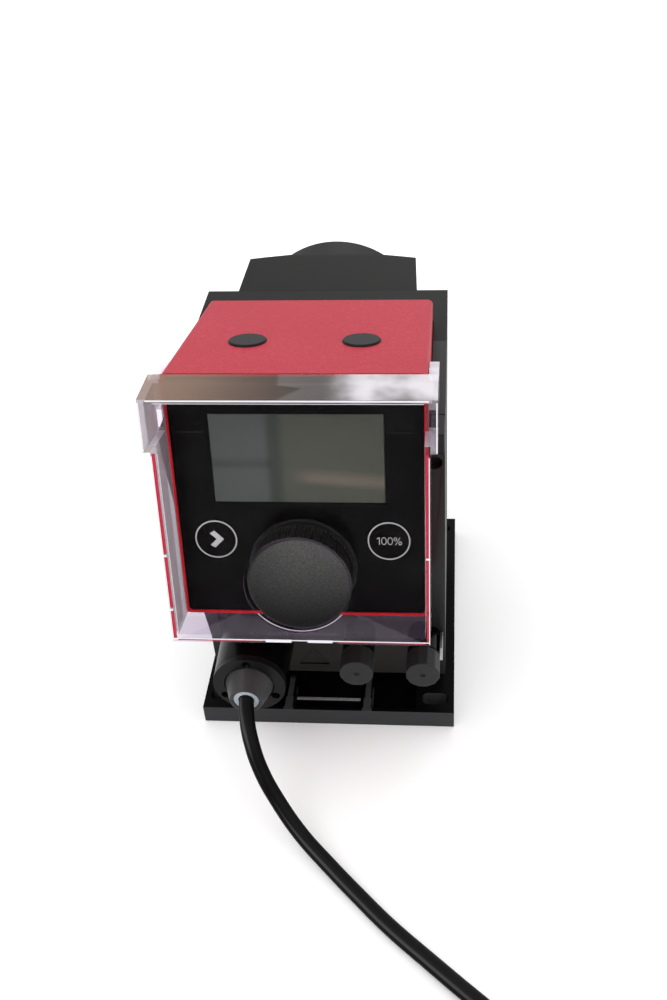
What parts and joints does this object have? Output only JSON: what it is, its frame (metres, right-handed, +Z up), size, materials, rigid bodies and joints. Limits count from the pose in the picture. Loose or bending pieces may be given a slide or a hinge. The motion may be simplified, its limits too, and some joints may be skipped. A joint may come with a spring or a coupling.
{
  "type": "peristaltic dosing pump",
  "caption": "Dosing pump: tilted red control cube with display, keys, knob and clear cover in a black housing on a slotted plate, with a mains gland, capped sockets and a roller pump head.",
  "frame": {"origin": "centre of the mounting plate's underside", "axes": "+X to the viewer's right, -Y the front with the control panel, +Z up"},
  "size_m": [0.1848, 0.4293, 0.2041],
  "materials": {
    "housing": "fine grained charcoal moulding",
    "housing_light": "fine grained charcoal moulding",
    "plate": "fine grained dark moulding",
    "red_shell": "fine mottled red moulding",
    "panel": "glossy black front foil",
    "knob": "satin black",
    "display": "grey-green display behind clear plastic",
    "clear": "clear moulded plastic with a faint tint",
    "steel": "turned steel",
    "motor": "dark motor case",
    "brass": "brass pinion",
    "aluminium": "machined aluminium",
    "white_plastic": "natural nylon",
    "head": "black moulding",
    "tube": "soft translucent hose",
    "board": "green circuit board with parts",
    "gland": "satin dark grey",
    "gland_light": "satin mid grey",
    "seal": "pale blue-grey rubber",
    "black_seal": "black rubber",
    "cap": "grey moulded cap",
    "strap": "thin bright strip",
    "cord": "black cable sheath",
    "plug": "black moulded plug with metal pins"
  },
  "bodies": {
    "pump": {"mounting_plate": "plate", "latch_bar": "gland_light", "base_cover": "housing", "front_housing": "housing", "rear_housing": "housing", "cheek_left": "housing_light", "cheek_right": "housing_light", "cube_clips": "housing_light", "housing_screws": "steel", "drive_cover": "housing", "motor": "motor", "gear_plate": "aluminium", "shaft_bearings": "steel", "head_casing": "head", "head_hinge_pin": "steel", "pump_tube": "tube", "hose_connectors": "white_plastic", "cube_shell": "red_shell", "cube_back": "housing", "front_panel": "panel", "display_module": "display", "knob_seat": "knob", "encoder": "board", "main_board": "board", "power_board": "board", "top_plugs": "head", "cube_screws": "steel", "cover_pins": "steel", "gland_boss": "gland", "gland_ring": "gland_light", "gland_cone": "gland_light", "gland_seal": "seal", "gland_screws": "gland", "signal_sockets": "gland", "cap_strap": "strap", "mains_lead": "cord", "mains_coil": "cord", "mains_tail": "cord", "coil_tie": "black_seal", "mains_plug": "plug"},
    "pinion": {"motor_pinion": "brass"},
    "rotor": {"drive_gear": "white_plastic", "drive_shaft": "steel", "rotor": "white_plastic", "roller_pins": "steel"},
    "roller_1": {"roller_1": "white_plastic"},
    "roller_2": {"roller_2": "white_plastic"},
    "roller_3": {"roller_3": "white_plastic"},
    "head_cover": {"head_cover": "head"},
    "thumbscrew": {"cover_thumbscrew": "knob"},
    "cover": {"clear_cover": "clear"},
    "knob_push": {"encoder_shaft": "steel"},
    "knob": {"knob": "knob"},
    "key_left": {"key_left": "panel"},
    "key_right": {"key_right": "panel"},
    "cap_seal_left": {"cap_seal_left": "black_seal"},
    "cap_left": {"cap_left": "cap"},
    "cap_seal_right": {"cap_seal_right": "black_seal"},
    "cap_right": {"cap_right": "cap"}
  },
  "joints": [
    {"name": "rotor_spin", "type": "hinge", "parent": "pump", "child": "rotor", "pos_m": [0, 0.07245, 0.1343], "axis": [0, 1, 0], "continuous": true},
    {"name": "pinion_spin", "type": "hinge", "parent": "pump", "child": "pinion", "pos_m": [0, 0.04075, 0.0983], "axis": [0, 1, 0], "continuous": true},
    {"name": "head_cover_hinge", "type": "hinge", "parent": "pump", "child": "head_cover", "pos_m": [-0.0441, 0.08395, 0.0968], "axis": [0, 0, 1], "range_deg": [0, 110]},
    {"name": "thumbscrew_turn", "type": "hinge", "parent": "head_cover", "child": "thumbscrew", "pos_m": [0.0367, 0.08845, 0.1103], "axis": [0, 1, 0], "continuous": true},
    {"name": "cover_hinge", "type": "hinge", "parent": "pump", "child": "cover", "pos_m": [0, -0.05969, 0.19311], "axis": [-1, 0, 0], "range_deg": [0, 130]},
    {"name": "knob_press", "type": "slide", "parent": "pump", "child": "knob_push", "axis": [0, 0.9767, -0.2147], "range_m": [0, 0.0008], "stiffness_N_per_m": 1500},
    {"name": "knob_turn", "type": "hinge", "parent": "knob_push", "child": "knob", "pos_m": [0, -0.09348, 0.12324], "axis": [0, 0.9767, -0.2147], "continuous": true},
    {"name": "key_left_press", "type": "slide", "parent": "pump", "child": "key_left", "axis": [0, 0.9767, -0.2147], "range_m": [0, 0.0005], "stiffness_N_per_m": 1200},
    {"name": "key_right_press", "type": "slide", "parent": "pump", "child": "key_right", "axis": [0, 0.9767, -0.2147], "range_m": [0, 0.0005], "stiffness_N_per_m": 1200},
    {"name": "cap_left_out", "type": "slide", "parent": "pump", "child": "cap_seal_left", "axis": [0, -1, 0], "range_m": [0, 0.008]},
    {"name": "cap_left_turn", "type": "hinge", "parent": "cap_seal_left", "child": "cap_left", "pos_m": [0.016, -0.07825, 0.0437], "axis": [0, -1, 0], "range_deg": [0, 2880]},
    {"name": "cap_right_out", "type": "slide", "parent": "pump", "child": "cap_seal_right", "axis": [0, -1, 0], "range_m": [0, 0.008]},
    {"name": "cap_right_turn", "type": "hinge", "parent": "cap_seal_right", "child": "cap_right", "pos_m": [0.046, -0.07825, 0.0437], "axis": [0, -1, 0], "range_deg": [0, 2880]},
    {"name": "roller_1_spin", "type": "hinge", "parent": "rotor", "child": "roller_1", "pos_m": [0, 0.07245, 0.1577], "axis": [0, 1, 0], "continuous": true},
    {"name": "roller_2_spin", "type": "hinge", "parent": "rotor", "child": "roller_2", "pos_m": [0.02026, 0.07245, 0.1226], "axis": [0, 1, 0], "continuous": true},
    {"name": "roller_3_spin", "type": "hinge", "parent": "rotor", "child": "roller_3", "pos_m": [-0.02026, 0.07245, 0.1226], "axis": [0, 1, 0], "continuous": true}
  ],
  "couplings": [
    {"joint": "pinion_spin", "follows": "rotor_spin", "ratio": -4},
    {"joint": "roller_1_spin", "follows": "rotor_spin", "ratio": -4.9},
    {"joint": "roller_2_spin", "follows": "rotor_spin", "ratio": -4.9},
    {"joint": "roller_3_spin", "follows": "rotor_spin", "ratio": -4.9},
    {"joint": "cap_left_turn", "follows": "cap_left_out", "rad_per_m": 6283.2},
    {"joint": "cap_right_turn", "follows": "cap_right_out", "rad_per_m": 6283.2}
  ]
}
